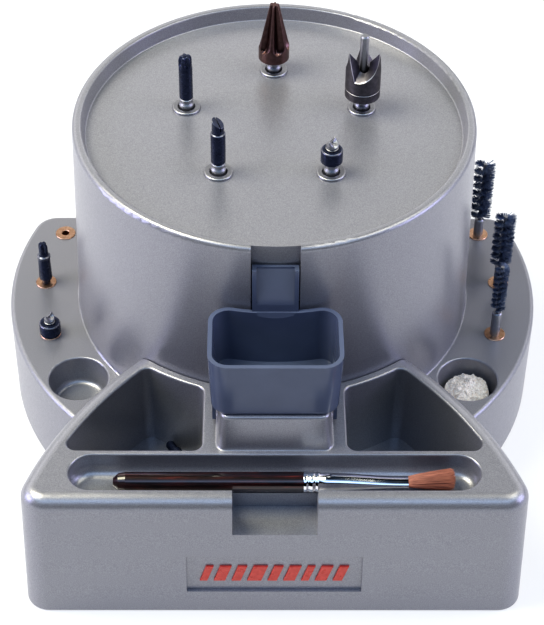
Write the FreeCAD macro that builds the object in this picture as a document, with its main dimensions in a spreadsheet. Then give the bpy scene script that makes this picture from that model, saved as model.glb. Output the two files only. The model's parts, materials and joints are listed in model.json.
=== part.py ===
"""Motorised case preparation station, as a parametric FreeCAD document.

Millimetres, +Z up, front towards -Y.  The origin is on the surface the station stands on, under
the middle of its outline.  Each sub-part is drawn about the drum's vertical axis or about its own
axis, and its Placement carries it to its place.
"""
import math
import os

import FreeCAD
import Part
import Sketcher

Vector = FreeCAD.Vector
doc = FreeCAD.newDocument("CasePreparationStation")
sheet = doc.addObject("Spreadsheet::Sheet", "Sizes")
subparts = []

# ---------------------------------------------------------------------------------------------
# Driving dimensions
# ---------------------------------------------------------------------------------------------
DIMENSIONS = {
    # housing
    "foot_height": 0.8,
    "wall": 3.0,
    "rim_radius": 95.0,
    "rim_width": 4.3,
    "drum_height": 158.0,
    "drum_draft": 1.5,
    "dish_depth": 7.0,
    "dish_slope": 1.5,
    "rim_outer_round": 2.4,
    "rim_inner_round": 1.2,
    "dish_crease": 0.8,
    "wing_radius": 132.6,
    "wing_height": 50.0,
    "wing_back": 54.5,
    "wing_corner": 12.0,
    "wing_roll": 2.2,
    "drum_foot_fillet": 1.0,
    "plate_height": 4.0,
    "seam": 0.4,
    "screw_boss_radius": 4.5,
    "screw_hole_radius": 1.5,
    "screw_hole_depth": 20.0,
    "foot_radius": 8.0,
    "foot_stem_radius": 2.5,
    # switch and inlet in the wings' backs
    "fitting_x": 97.0,
    "fitting_z": 26.5,
    "fitting_flange": 2.0,
    "fitting_flange_thick": 1.6,
    "switch_half_width": 6.5,
    "switch_half_height": 9.5,
    "inlet_half_width": 10.0,
    "inlet_half_height": 6.5,
    # chip notch in the drum's wall
    "notch_half": 10.9,
    "notch_bottom": 114.0,
    "lip_radius": 90.2,
    "lip_depth": 4.0,
    "lip_thick": 4.2,
    "lip_drop": 6.7,
    # front tray
    "tray_height": 73.6,
    "tray_front": 168.0,
    "tray_back": 71.0,
    "tray_draft": 1.25,
    "tray_side_radius": 193.1,
    "tray_side_x": 70.8,
    "tray_side_y": 210.3,
    "tray_corner": 11.0,
    "tray_roll": 7.0,
    "tray_edge": 1.0,
    "pocket_side_radius": 183.2,
    "pocket_back_radius": 101.2,
    "pocket_front": 134.7,
    "pocket_inner": 32.7,
    "pocket_floor": 28.0,
    "trough_centre": 147.9,
    "trough_half_width": 10.3,
    "trough_half_length": 81.1,
    "trough_floor": 61.8,
    "thumb_half": 18.9,
    "thumb_floor": 52.9,
    "thumb_back": 149.9,
    "badge_half": 39.8,
    "badge_low": 14.0,
    "badge_high": 38.2,
    "badge_depth": 1.2,
    "block_half": 26.0,
    "block_front": 135.0,
    "block_height": 93.0,
    "block_draft": 5.0,
    # chip cup
    "cup_half": 29.8,
    "cup_front": 133.5,
    "cup_top": 124.0,
    "cup_back_radius": 97.2,
    "cup_wall": 2.0,
    "cup_draft": 2.5,
    "cup_corner": 9.0,
    "skirt_bottom": 76.0,
    # storage in the wings
    "powder_cup_x": 94.0,
    "powder_cup_y": 66.5,
    "powder_cup_radius": 14.2,
    "powder_cup_floor": 35.0,
    "powder_cup_draft": 5.0,
    "powder_cup_wall": 2.4,
    "insert_boss_radius": 6.5,
    "insert_flange_radius": 5.15,
    "insert_radius": 3.5,
    "insert_thread_radius": 1.85,
    "insert_depth": 12.0,
    "insert_flange": 0.5,
    # spindles and their drive
    "spindle_circle": 44.0,
    "drive_offset": 2.0,
    "spindle_radius": 3.45,
    "spindle_bore": 3.5,
    "journal_radius": 3.0,
    "journal_bore": 3.04,
    "socket_radius": 2.1,
    "socket_depth": 12.0,
    "bush_flange_radius": 6.8,
    "bush_flange": 1.3,
    "bush_recess": 4.0,
    "spindle_top": 157.3,
    "bush_radius": 5.0,
    "gear_low": 112.0,
    "gear_high": 122.0,
    "gear_module": 2.0,
    "gear_play": 0.42,
    "gear_plate_low": 104.0,
    "gear_plate_thick": 3.0,
    "gear_plate_radius": 72.0,
    "post_circle": 62.0,
    "post_radius": 5.0,
    "motor_radius": 28.0,
    "motor_low": 40.0,
    "motor_shaft": 4.0,
    # loose tools
    "shank_radius": 1.78,
    "brush_axis_y": 147.6,
    "brush_axis_z": 66.6,
    "brush_radius": 4.5,
}
SUN_TEETH = 24
SPINDLE_TEETH = 20
SPINDLE_ANGLES = {"back": 90, "right": 18, "front_right": -54, "front_left": -126, "left": 162}
INSERT_PLACES = {"rear": (108.2, 40.5), "middle": (115.2, 2.5), "front": (110.0, -35.0)}


class Size:
    """A length or angle that knows its value and the sheet expression that gives it."""

    def __init__(self, value, text):
        self.value = float(value)
        self.text = text

    def joined(self, other, sign, value):
        return Size(value, f"({self.text} {sign} {text_of(other)})")

    def __add__(self, other):
        return self.joined(other, "+", self.value + value_of(other))

    def __sub__(self, other):
        return self.joined(other, "-", self.value - value_of(other))

    def __mul__(self, other):
        return self.joined(other, "*", self.value * value_of(other))

    def __truediv__(self, other):
        return self.joined(other, "/", self.value / value_of(other))

    def __neg__(self):
        return Size(-self.value, f"(-{self.text})")

    def __radd__(self, other):
        return Size(float(other), repr(float(other))) + self

    def __rsub__(self, other):
        return Size(float(other), repr(float(other))) - self


def value_of(size):
    return size.value if isinstance(size, Size) else float(size)


def text_of(size):
    return size.text if isinstance(size, Size) else repr(float(size))


def root(size):
    return Size(math.sqrt(value_of(size)), f"sqrt({text_of(size)})")


def tangent(angle):
    return Size(math.tan(math.radians(value_of(angle))), f"tan({text_of(angle)} * 1 deg)")


def across(radius, x):
    """How far out a circle of this radius is where it is x to one side."""
    return root(radius * radius - x * x)


def polar(radius, angle):
    """The two coordinates of a point on a circle, at an angle in degrees."""
    turn = math.radians(angle)
    east = Size(value_of(radius) * math.cos(turn), f"({text_of(radius)} * cos({angle} deg))")
    north = Size(value_of(radius) * math.sin(turn), f"({text_of(radius)} * sin({angle} deg))")
    return east, north


size = {}
for line, (alias, number) in enumerate(DIMENSIONS.items(), start=1):
    sheet.set(f"A{line}", alias.replace("_", " "))
    sheet.set(f"B{line}", str(number))
    sheet.setAlias(f"B{line}", alias)
    size[alias] = Size(number, f"Sizes.{alias}")
doc.recompute()


def drum_radius(height):
    """The drafted drum's outer radius at a height."""
    return size["rim_radius"] + (size["drum_height"] - height) * tangent(size["drum_draft"])


# The drum's axis stands behind the origin, so that the outline is centred on it.
drum_y = (size["tray_front"] - drum_radius(size["foot_height"])) / 2
# The drive's axis stands a little behind the drum's.
drive_y = drum_y + size["drive_offset"]


# ---------------------------------------------------------------------------------------------
# Drawing helpers
# ---------------------------------------------------------------------------------------------
class Bend:
    """An arc that leaves a corner: its radius, and whether it turns left and passes half a turn."""

    def __init__(self, radius, left=True, long=False):
        self.radius = radius
        self.left = left
        self.long = long


def origin_plane(body, role):
    return next(item for item in body.Origin.OriginFeatures if item.Role == role)


def fix_point(drawing, edge, end, x, y):
    """Tie one end of an edge to its coordinates."""
    for kind, axis, coordinate in (("DistanceX", -2, x), ("DistanceY", -1, y)):
        number = value_of(coordinate)
        if abs(number) < 1e-9:
            drawing.addConstraint(Sketcher.Constraint("PointOnObject", edge, end, axis))
            continue
        first, second = ((-1, 1), (edge, end)) if number > 0 else ((edge, end), (-1, 1))
        index = drawing.addConstraint(Sketcher.Constraint(kind, *first, *second, abs(number)))
        if isinstance(coordinate, Size):
            expression = coordinate.text if number > 0 else f"-{coordinate.text}"
            drawing.setExpression(f"Constraints[{index}]", expression)


def fix_radius(drawing, edge, radius):
    index = drawing.addConstraint(Sketcher.Constraint("Radius", edge, value_of(radius)))
    if isinstance(radius, Size):
        drawing.setExpression(f"Constraints[{index}]", radius.text)


def fix_bend(drawing, edge, corner, end):
    """Tie an arc's size; a half turn across X is tied by its centre, which is in line with its ends."""
    span = math.hypot(end.x - value_of(corner[0]), end.y - value_of(corner[1]))
    if abs(span - 2 * value_of(corner[2].radius)) > 1e-6:
        fix_radius(drawing, edge, corner[2].radius)
        return
    drawing.addConstraint(Sketcher.Constraint("Vertical", edge, 3, edge, 1))


def arc_between(start, end, bend):
    """The arc of a bend between two points, always drawn counter-clockwise."""
    radius = value_of(bend.radius)
    chord = end - start
    rise = math.sqrt(max(radius ** 2 - (chord.Length / 2) ** 2, 0.0))
    side = Vector(-chord.y, chord.x, 0).normalize()
    if bend.left == bend.long:
        side = -side
    centre = (start + end) / 2 + side * rise
    first, last = (start, end) if bend.left else (end, start)
    angles = [math.atan2(point.y - centre.y, point.x - centre.x) for point in (first, last)]
    if angles[1] <= angles[0]:
        angles[1] += 2 * math.pi
    return Part.ArcOfCircle(Part.Circle(centre, Vector(0, 0, 1), radius), *angles)


def draw_outline(drawing, corners):
    """Draw a closed outline: corners are (x, y) or (x, y, Bend) when an arc leaves them."""
    points = [Vector(value_of(corner[0]), value_of(corner[1]), 0) for corner in corners]
    ends = []
    for index, corner in enumerate(corners):
        start = points[index]
        end = points[(index + 1) % len(points)]
        if len(corner) == 2:
            edge = drawing.addGeometry(Part.LineSegment(start, end))
            ends.append((edge, 1, 2))
            continue
        edge = drawing.addGeometry(arc_between(start, end, corner[2]))
        ends.append((edge, 1, 2) if corner[2].left else (edge, 2, 1))
    for index, (edge, start, _) in enumerate(ends):
        before = ends[index - 1]
        drawing.addConstraint(Sketcher.Constraint("Coincident", before[0], before[2], edge, start))
        fix_point(drawing, edge, start, corners[index][0], corners[index][1])
        if len(corners[index]) == 3:
            fix_bend(drawing, edge, corners[index], points[(index + 1) % len(points)])


def draw_circle(drawing, x, y, radius):
    centre = Vector(value_of(x), value_of(y), 0)
    edge = drawing.addGeometry(Part.Circle(centre, Vector(0, 0, 1), value_of(radius)))
    fix_point(drawing, edge, 3, x, y)
    fix_radius(drawing, edge, radius)


def sketch(body, *shapes, role="XY_Plane", lift=0):
    """A sketch on one of the body's own origin planes; a shape is an outline or (x, y, radius)."""
    drawing = body.newObject("Sketcher::SketchObject", body.Name + "Sketch")
    drawing.AttachmentSupport = [(origin_plane(body, role), "")]
    drawing.MapMode = "FlatFace"
    drawing.setExpression("AttachmentOffset.Base.z", f"{text_of(lift)} * 1 mm")
    for shape in shapes:
        if isinstance(shape, tuple):
            draw_circle(drawing, *shape)
        else:
            draw_outline(drawing, shape)
    return drawing


def setting(feature, name, amount):
    if isinstance(amount, Size):
        feature.setExpression(name, amount.text)
    else:
        setattr(feature, name, amount)


def extruded(kind, body, profile, length, draft=0, reverse=False, midplane=False):
    feature = body.newObject(kind, body.Name + kind.split("::")[1])
    feature.Profile = profile
    setting(feature, "Length", length)
    setting(feature, "TaperAngle", draft)
    feature.Reversed = reverse
    if midplane:
        feature.SideType = "Symmetric"
    body.Tip = feature
    return feature


def pad(body, profile, length, **options):
    """Add material along the sketch's normal."""
    return extruded("PartDesign::Pad", body, profile, length, **options)


def pocket(body, profile, length, **options):
    """Cut material against the sketch's normal, and check that something was cut."""
    doc.recompute()
    before = body.Shape.Volume
    feature = extruded("PartDesign::Pocket", body, profile, length, **options)
    doc.recompute()
    if before - body.Shape.Volume < 1e-3:
        raise RuntimeError(f"{feature.Name} cuts nothing")
    return feature


def spun(kind, body, corners):
    """Turn a half profile, drawn as (radius, height), about the body's Z axis."""
    profile = sketch(body, corners, role="XZ_Plane")
    feature = body.newObject(kind, body.Name + kind.split("::")[1])
    feature.Profile = profile
    feature.ReferenceAxis = (profile, ["V_Axis"])
    feature.Angle = 360
    body.Tip = feature
    return feature


def revolve(body, corners):
    return spun("PartDesign::Revolution", body, corners)


def groove(body, corners):
    return spun("PartDesign::Groove", body, corners)


def around(body, feature, count):
    """Repeat a feature evenly about the body's Z axis."""
    pattern = body.newObject("PartDesign::PolarPattern", body.Name + "Pattern")
    pattern.Originals = [feature]
    pattern.Axis = (origin_plane(body, "Z_Axis"), [""])
    pattern.Angle = 360
    pattern.Occurrences = count
    body.Tip = pattern
    return pattern


def round_edges(body, radius, choose):
    """Round the edges of the body's last feature that a test picks."""
    doc.recompute()
    base = body.Tip
    names = [f"Edge{n}" for n, edge in enumerate(base.Shape.Edges, start=1) if choose(edge)]
    if not names:
        raise RuntimeError(f"{body.Label}: no edge to round")
    fillet = body.newObject("PartDesign::Fillet", body.Name + "Fillet")
    fillet.Base = (base, names)
    setting(fillet, "Radius", radius)
    body.Tip = fillet
    return fillet


def level(edge, height):
    """True for an edge that lies flat at a height."""
    box = edge.BoundBox
    return abs(box.ZMin - value_of(height)) < 0.05 and abs(box.ZMax - value_of(height)) < 0.05


def beside(edge, x, y, reach=1.0):
    """True for an edge that stands near a point of the plan."""
    middle = edge.BoundBox.Center
    return math.hypot(middle.x - value_of(x), middle.y - value_of(y)) < reach


def rectangle(x_low, x_high, y_low, y_high):
    return [(x_low, y_low), (x_high, y_low), (x_high, y_high), (x_low, y_high)]


def place(item, x=0, y=0, z=0, turn=0):
    """Set a sub-part's Placement from sizes."""
    item.Placement = FreeCAD.Placement(
        Vector(value_of(x), value_of(y), value_of(z)), FreeCAD.Rotation(Vector(0, 0, 1), turn))
    for axis, amount in zip("xyz", (x, y, z)):
        item.setExpression(f"Placement.Base.{axis}", f"{text_of(amount)} * 1 mm")


def new_body(node, **where):
    """A sub-part's body, placed and labelled with its node's name."""
    body = doc.addObject("PartDesign::Body", "Body")
    body.Label = node
    place(body, **where)
    subparts.append(body)
    return body


def turned_part(node, corners, **where):
    """A sub-part that is a plain turned piece."""
    body = new_body(node, **where)
    revolve(body, corners)
    return body


def group_of(node, pieces):
    """A sub-part that is several separate solids of one kind."""
    group = doc.addObject("Part::Compound", "Group")
    group.Links = pieces
    group.Label = node
    subparts.append(group)
    return group


def cylinder(radius, height, x, y, z):
    rod = doc.addObject("Part::Cylinder", "Rod")
    setting(rod, "Radius", radius)
    setting(rod, "Height", height)
    place(rod, x, y, z)
    return rod


def ring(outer, inner, height, x, y, z):
    """A tube that stands on a height."""
    tube = doc.addObject("Part::Cut", "Ring")
    tube.Base = cylinder(outer, height, x, y, z)
    tube.Tool = cylinder(inner, height + 2, x, y, z - 1)
    return tube


def headed(head_radius, head_height, thread_radius, length, x, y, z, up=True):
    """A screw with a round head, its thread pointing up or down from the head."""
    screw = doc.addObject("Part::Fuse", "Screw")
    screw.Base = cylinder(head_radius, head_height, x, y, z)
    thread_z = z + head_height if up else z - length
    screw.Tool = cylinder(thread_radius, length, x, y, thread_z)
    return screw


# ---------------------------------------------------------------------------------------------
# Outlines shared by the mouldings and the base plate
# ---------------------------------------------------------------------------------------------
def wing_outline(inset):
    """The wings' circle, cut straight across at the back."""
    radius = size["wing_radius"] - inset
    back = size["wing_back"] - inset
    side = across(radius, back)
    return [(side, back), (-side, back, Bend(radius, left=True, long=True))]


def tray_side(radius, y):
    """How far out the tray's curved side is at a distance in front of the drum's axis."""
    return across(radius, size["tray_side_y"] - y) - size["tray_side_x"]


def tray_outline(side_inset, front_inset, back):
    """The tray's plan: a straight front, two bowed sides and a chord at the back."""
    radius = size["tray_side_radius"] - side_inset
    front = size["tray_front"] - front_inset
    front_x = tray_side(radius, front)
    back_x = tray_side(radius, back)
    return [
        (-front_x, -front),
        (front_x, -front, Bend(radius)),
        (back_x, -back),
        (-back_x, -back, Bend(radius)),
    ]


def tray_corner_touches(radius, front, corner):
    """Where a corner's round leaves a straight front and where it meets the bowed side."""
    centre_x = tray_side(radius - corner, front - corner)
    stretch = radius / (radius - corner)
    touch_x = (centre_x + size["tray_side_x"]) * stretch - size["tray_side_x"]
    touch_y = size["tray_side_y"] - (size["tray_side_y"] - (front - corner)) * stretch
    return centre_x, touch_x, touch_y


def circle_crossing(side_radius, drum_circle):
    """Where a circle parallel to the tray's side meets a circle about the drum's axis."""
    offset = root(size["tray_side_x"] * size["tray_side_x"] + size["tray_side_y"] * size["tray_side_y"])
    squares = drum_circle * drum_circle - side_radius * side_radius + offset * offset
    along = squares / (offset * 2)
    aside = across(drum_circle, along)
    x = (aside * size["tray_side_y"] - along * size["tray_side_x"]) / offset
    y = (along * size["tray_side_y"] + aside * size["tray_side_x"]) / offset
    return x, y


def pocket_outline(side):
    """One tray pocket: bowed outer side, straight front and inner edges, back round the drum."""
    back = size["pocket_back_radius"]
    outer = size["pocket_side_radius"]
    front = size["pocket_front"]
    inner = size["pocket_inner"]
    outer_x = tray_side(outer, front)
    apex_x, apex_y = circle_crossing(outer, back)
    right = [
        (inner, -front),
        (outer_x, -front, Bend(outer)),
        (apex_x, -apex_y, Bend(back, left=False)),
        (inner, -across(back, inner)),
    ]
    if side > 0:
        return right
    return [
        (-inner, -across(back, inner), Bend(back, left=False)),
        (-apex_x, -apex_y, Bend(outer)),
        (-outer_x, -front),
        (-inner, -front),
    ]


# ---------------------------------------------------------------------------------------------
# Housing
# ---------------------------------------------------------------------------------------------
FOOT_PLACES = [(-100, 20), (100, 20), (0, 82), (-96, -146), (96, -146)]
SCREW_PLACES = [(-112, -16), (112, -16), (-60, 64), (60, 64), (-101, -152), (101, -152)]


def make_cover():
    """The drum and both wings, one hollow moulding with the tool dish on top."""
    foot = size["foot_height"]
    wall = size["wall"]
    top = size["drum_height"]
    dish = top - size["dish_depth"]
    wing_top = size["wing_height"]
    rim_inner = size["rim_radius"] - size["rim_width"]
    body = new_body("housing_cover", y=drum_y)
    revolve(body, [
        (0, foot), (drum_radius(foot), foot), (size["rim_radius"], top),
        (rim_inner, top), (rim_inner - size["dish_slope"], dish), (0, dish),
    ])
    rim_middle = value_of(rim_inner) + 1
    round_edges(body, size["rim_outer_round"],
                lambda edge: level(edge, top) and edge.Curve.Radius > rim_middle)
    round_edges(body, size["rim_inner_round"],
                lambda edge: level(edge, top) and edge.Curve.Radius < rim_middle)
    round_edges(body, size["dish_crease"], lambda edge: level(edge, dish))
    pad(body, sketch(body, wing_outline(0), lift=foot), wing_top - foot)
    wing_side = across(size["wing_radius"], size["wing_back"])
    for side in (-1, 1):
        round_edges(body, size["wing_corner"],
                    lambda edge: beside(edge, wing_side * side, size["wing_back"]))
    drum_side = value_of(drum_radius(wing_top))

    def is_drum_foot(edge):
        return level(edge, wing_top) and hasattr(edge.Curve, "Radius") and \
            abs(edge.Curve.Radius - drum_side) < 0.3
    round_edges(body, size["drum_foot_fillet"], is_drum_foot)
    least_rim = value_of(size["wing_radius"]) - 10
    corner_round = value_of(size["wing_corner"])

    def is_wing_rim(edge):
        middle = edge.BoundBox.Center
        curve = edge.Curve
        on_rim = hasattr(curve, "Radius") and curve.Radius > least_rim
        on_corner = hasattr(curve, "Radius") and abs(curve.Radius - corner_round) < 0.1
        on_back = middle.y > value_of(size["wing_back"]) - 0.1
        return level(edge, wing_top) and (on_rim or on_corner or on_back)
    round_edges(body, size["wing_roll"], is_wing_rim)

    # hollow inside of the drum and of the wings
    roof = dish - wall
    groove(body, [
        (0, foot - 1), (drum_radius(foot) - wall, foot - 1), (drum_radius(roof) - wall, roof), (0, roof),
    ])
    pocket(body, sketch(body, wing_outline(wall), lift=0), wing_top - wall, reverse=True)

    # the thick lip behind the chip notch
    lip = size["lip_radius"]
    lip_back = lip - size["lip_depth"]
    notch = size["notch_half"]
    behind = notch + 3
    pad(body, sketch(body, [
        (-behind, -across(lip, behind), Bend(lip)), (behind, -across(lip, behind)),
        (behind, -across(lip_back, behind), Bend(lip_back, left=False)),
        (-behind, -across(lip_back, behind)),
    ], lift=dish - size["lip_drop"]), size["lip_thick"])

    # bosses for the powder cups, the inserts and the screws
    cup_x = size["powder_cup_x"]
    cup_y = -size["powder_cup_y"]
    boss_top = wing_top - 1
    cup_boss = size["powder_cup_radius"] + size["powder_cup_wall"]
    cup_low = size["powder_cup_floor"] - 2.6
    pad(body, sketch(body, (cup_x, cup_y, cup_boss), (-cup_x, cup_y, cup_boss), lift=cup_low),
        boss_top - cup_low)
    insert_low = wing_top - size["insert_depth"] - 1
    insert_bosses = [(side * x, y, size["insert_boss_radius"])
                     for side in (-1, 1) for x, y in INSERT_PLACES.values()]
    pad(body, sketch(body, *insert_bosses, lift=insert_low), boss_top - insert_low)
    boss = size["screw_boss_radius"]
    plate = size["plate_height"]
    for screws, reach in ((SCREW_PLACES[:2], boss_top), (SCREW_PLACES[2:4], roof + 0.5)):
        pad(body, sketch(body, *[(x, y, boss) for x, y in screws], lift=plate), reach - plate)

    # holes
    screw_holes = [(x, y, size["screw_hole_radius"]) for x, y in SCREW_PLACES[:4]]
    pocket(body, sketch(body, *screw_holes, lift=0), size["screw_hole_depth"], reverse=True)
    pocket(body, sketch(body, (cup_x, cup_y, size["powder_cup_radius"]),
                        (-cup_x, cup_y, size["powder_cup_radius"]), lift=wing_top),
           wing_top - size["powder_cup_floor"], draft=-size["powder_cup_draft"])
    round_edges(body, 1.0, lambda edge: level(edge, wing_top) and hasattr(edge.Curve, "Radius")
                and abs(edge.Curve.Radius - value_of(size["powder_cup_radius"])) < 0.2)
    round_edges(body, 3.0, lambda edge: level(edge, size["powder_cup_floor"]))
    insert_holes = [(side * x, y, size["insert_radius"])
                    for side in (-1, 1) for x, y in INSERT_PLACES.values()]
    pocket(body, sketch(body, *insert_holes, lift=wing_top), size["insert_depth"])
    bush_holes = [(x, y + size["drive_offset"], size["bush_radius"]) for x, y in spindle_spots().values()]
    pocket(body, sketch(body, *bush_holes, lift=dish), wall + 1)
    outside = drum_radius(size["notch_bottom"]) + 2
    pocket(body, sketch(body, [
        (-notch, -across(lip, notch), Bend(lip)), (notch, -across(lip, notch)),
        (notch, -outside), (-notch, -outside),
    ], lift=top + 1), top + 1 - size["notch_bottom"])
    seam = size["seam"]
    pocket(body, sketch(body, tray_outline(-seam, -seam, size["tray_back"]), lift=foot),
           wing_top + 1 - foot, reverse=True, draft=-size["tray_draft"])
    switch, inlet = rear_openings(0)
    pocket(body, sketch(body, switch, inlet, role="XZ_Plane", lift=-size["wing_back"] - 1), wall + 3,
           reverse=True)


def rear_openings(inset):
    """The outlines of the switch's and the inlet's openings, seen from the front as (x, z)."""
    middle = size["fitting_z"]
    outlines = []
    for name, x in (("switch", -size["fitting_x"]), ("inlet", size["fitting_x"])):
        wide = size[name + "_half_width"] - inset
        tall = size[name + "_half_height"] - inset
        outlines.append(rectangle(x - wide, x + wide, middle - tall, middle + tall))
    return outlines


def make_tray():
    """The front tray: a drafted moulding with two pockets, the trough and the cup's block."""
    foot = size["foot_height"]
    wall = size["wall"]
    top = size["tray_height"]
    body = new_body("front_tray", y=drum_y)
    pad(body, sketch(body, tray_outline(0, 0, size["tray_back"]), lift=foot), top - foot,
        draft=-size["tray_draft"])
    corner_x = tray_side(size["tray_side_radius"], size["tray_front"])
    round_edges(body, size["tray_corner"],
                lambda edge: abs(abs(edge.BoundBox.Center.x) - value_of(corner_x)) < 2.5
                and edge.BoundBox.ZLength > 60 and edge.BoundBox.Center.y < -160)
    round_edges(body, size["tray_roll"], lambda edge: level(edge, top) and edge.BoundBox.Center.y < -80)
    block_half = size["block_half"]
    block_front = size["block_front"]
    pad(body, sketch(body, rectangle(-block_half, block_half, -block_front, -80), lift=top - 1),
        size["block_height"] - top + 1, draft=-size["block_draft"])
    round_edges(body, 4.0, lambda edge: edge.BoundBox.ZLength > 15
                and beside(edge, block_half * (1 if edge.BoundBox.Center.x > 0 else -1), -block_front, 4)
                and edge.BoundBox.ZMin > value_of(top) - 1.5)
    round_edges(body, 1.6, lambda edge: level(edge, size["block_height"])
                and edge.BoundBox.Center.y < -84)

    # pockets, trough, thumb notch and badge recess
    depth = top - size["pocket_floor"]
    for side in (-1, 1):
        pocket(body, sketch(body, pocket_outline(side), lift=top), depth, draft=-1.5)
    tall = value_of(depth) - 5

    def is_pocket_corner(edge):
        box = edge.BoundBox
        return box.ZLength > tall and box.ZMax < value_of(top) + 0.1 and box.YMin > -140 and \
            box.ZMin > 10 and box.XLength < 12 and box.YLength < 12
    round_edges(body, 4.5, is_pocket_corner)
    trough_y = size["trough_centre"]
    half_width = size["trough_half_width"]
    half_length = size["trough_half_length"]
    pocket(body, sketch(body, [
        (-half_length, -trough_y - half_width), (half_length, -trough_y - half_width, Bend(half_width)),
        (half_length, -trough_y + half_width), (-half_length, -trough_y + half_width, Bend(half_width)),
    ], lift=top), top - size["trough_floor"])
    round_edges(body, 5.0, lambda edge: level(edge, size["trough_floor"]))
    round_edges(body, size["tray_edge"], lambda edge: level(edge, top) and
                edge.BoundBox.YMin > -159 and edge.BoundBox.YMax < -88)
    thumb = size["thumb_half"]
    pocket(body, sketch(body, rectangle(-thumb, thumb, -size["tray_front"] - 2, -size["thumb_back"]),
                        lift=top + 1), top + 1 - size["thumb_floor"])
    badge = size["badge_half"]
    badge_face = size["tray_front"] - size["badge_depth"] - 0.6
    pocket(body, sketch(body, rectangle(-badge, badge, size["badge_low"], size["badge_high"]),
                        role="XZ_Plane", lift=badge_face), 10, reverse=True)

    # the curved back that follows the drum
    seam = size["seam"]
    groove(body, [
        (0, 0), (drum_radius(0) + seam, 0),
        (drum_radius(100) + seam, 100), (0, 100),
    ])

    # hollow underside, with bosses for the screws
    inner_radius = size["tray_side_radius"] - wall * 2
    hollow_back = size["pocket_back_radius"] + 2
    apex_x, apex_y = circle_crossing(inner_radius, hollow_back)
    front = size["tray_front"] - wall
    corner = size["tray_corner"] - wall
    flat_x, touch_x, touch_y = tray_corner_touches(inner_radius, front, corner)
    pocket(body, sketch(body, [
        (-flat_x, -front), (flat_x, -front, Bend(corner)), (touch_x, -touch_y, Bend(inner_radius)),
        (apex_x, -apex_y, Bend(hollow_back, left=False)), (-apex_x, -apex_y, Bend(inner_radius)),
        (-touch_x, -touch_y, Bend(corner)),
    ], lift=0), size["pocket_floor"] - wall, reverse=True)
    pocket(body, sketch(body, rectangle(-92, 92, -trough_y - 4, -size["pocket_front"] - 3), lift=0),
           size["thumb_floor"] - wall, reverse=True)
    pocket(body, sketch(body, rectangle(-28, 28, -size["pocket_front"] - 1, -hollow_back - 2), lift=0),
           top - 4, reverse=True)
    plate = size["plate_height"]
    tray_screws = SCREW_PLACES[4:]
    boss = size["screw_boss_radius"]
    hole = size["screw_hole_radius"]
    pad(body, sketch(body, *[(x, y, boss) for x, y in tray_screws], lift=plate),
        size["pocket_floor"] - 2 - plate)
    pocket(body, sketch(body, *[(x, y, hole) for x, y in tray_screws], lift=0), size["screw_hole_depth"],
           reverse=True)
    pocket(body, sketch(body, wing_outline(wall), lift=0), plate, reverse=True)


def make_base_plate():
    """The flat bottom that closes the cover and the tray and carries the feet."""
    foot = size["foot_height"]
    inset = size["wall"] + 0.4
    thick = size["plate_height"] - foot
    body = new_body("base_plate", y=drum_y)
    pad(body, sketch(body, wing_outline(inset), lift=foot), thick)
    wing_side = across(size["wing_radius"] - inset, size["wing_back"] - inset)
    for side in (-1, 1):
        round_edges(body, size["wing_corner"] - 2,
                    lambda edge: beside(edge, wing_side * side, size["wing_back"] - inset))
    pad(body, sketch(body, (0, 0, drum_radius(foot) - inset), lift=foot), thick)
    pad(body, sketch(body, tray_outline(inset + 3, inset, 80), lift=foot), thick)
    plate_front = size["tray_front"] - inset
    plate_corner = tray_side(size["tray_side_radius"] - inset - 3, plate_front)
    for side in (-1, 1):
        round_edges(body, size["tray_corner"] - size["wall"],
                    lambda edge: beside(edge, plate_corner * side, -plate_front))
    hole = size["screw_hole_radius"]
    head_hole = hole * 2
    stem_hole = size["foot_stem_radius"]
    pocket(body, sketch(body, *[(x, y, hole) for x, y in SCREW_PLACES], lift=0), 6, reverse=True)
    pocket(body, sketch(body, *[(x, y, head_hole) for x, y in SCREW_PLACES], lift=0), foot + 1, reverse=True)
    pocket(body, sketch(body, *[(x, y, stem_hole) for x, y in FOOT_PLACES], lift=0), 6, reverse=True)
    vents = [rectangle(-24, 24, y, y + 3) for y in (-20, -10, 0, 10, 20)]
    pocket(body, sketch(body, *vents, lift=0), 6, reverse=True)


def make_fasteners():
    """Rubber feet pushed into the base plate, and the screws that hold the mouldings to it."""
    foot = size["foot_height"]
    feet = []
    screws = []
    for x, y in FOOT_PLACES:
        pad_and_stem = doc.addObject("Part::Fuse", "Foot")
        stem = size["plate_height"] - foot
        pad_and_stem.Base = cylinder(size["foot_radius"], foot, x, drum_y + y, 0)
        pad_and_stem.Tool = cylinder(size["foot_stem_radius"], stem, x, drum_y + y, foot)
        feet.append(pad_and_stem)
    for x, y in SCREW_PLACES:
        screws.append(headed(2.95, 1.0, size["screw_hole_radius"], 14, x, drum_y + y, foot))
    group_of("rubber_feet", feet)
    group_of("housing_screws", screws)


def make_storage():
    """The threaded inserts in the wings and the powder in the right cup."""
    top = size["wing_height"]
    flange = size["insert_flange"]
    bore = size["insert_thread_radius"]
    for side, word in ((-1, "left"), (1, "right")):
        for row, (x, y) in INSERT_PLACES.items():
            turned_part(f"insert_{word}_{row}", [
                (bore, top - size["insert_depth"]), (size["insert_radius"], top - size["insert_depth"]),
                (size["insert_radius"], top), (size["insert_flange_radius"], top),
                (size["insert_flange_radius"], top + flange - 0.2),
                (size["insert_flange_radius"] - 0.2, top + flange), (bore + 0.3, top + flange),
                (bore, top + flange - 0.3),
            ], x=side * x, y=drum_y + y)
    floor = size["powder_cup_floor"]
    turned_part("mica_powder", [
        (0, floor), (8.6, floor), (11.6, floor + 4), (11.4, floor + 8.4), (9.0, floor + 10.6),
        (4.5, floor + 12.2), (0, floor + 12.8),
    ], x=size["powder_cup_x"], y=drum_y - size["powder_cup_y"])


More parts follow.
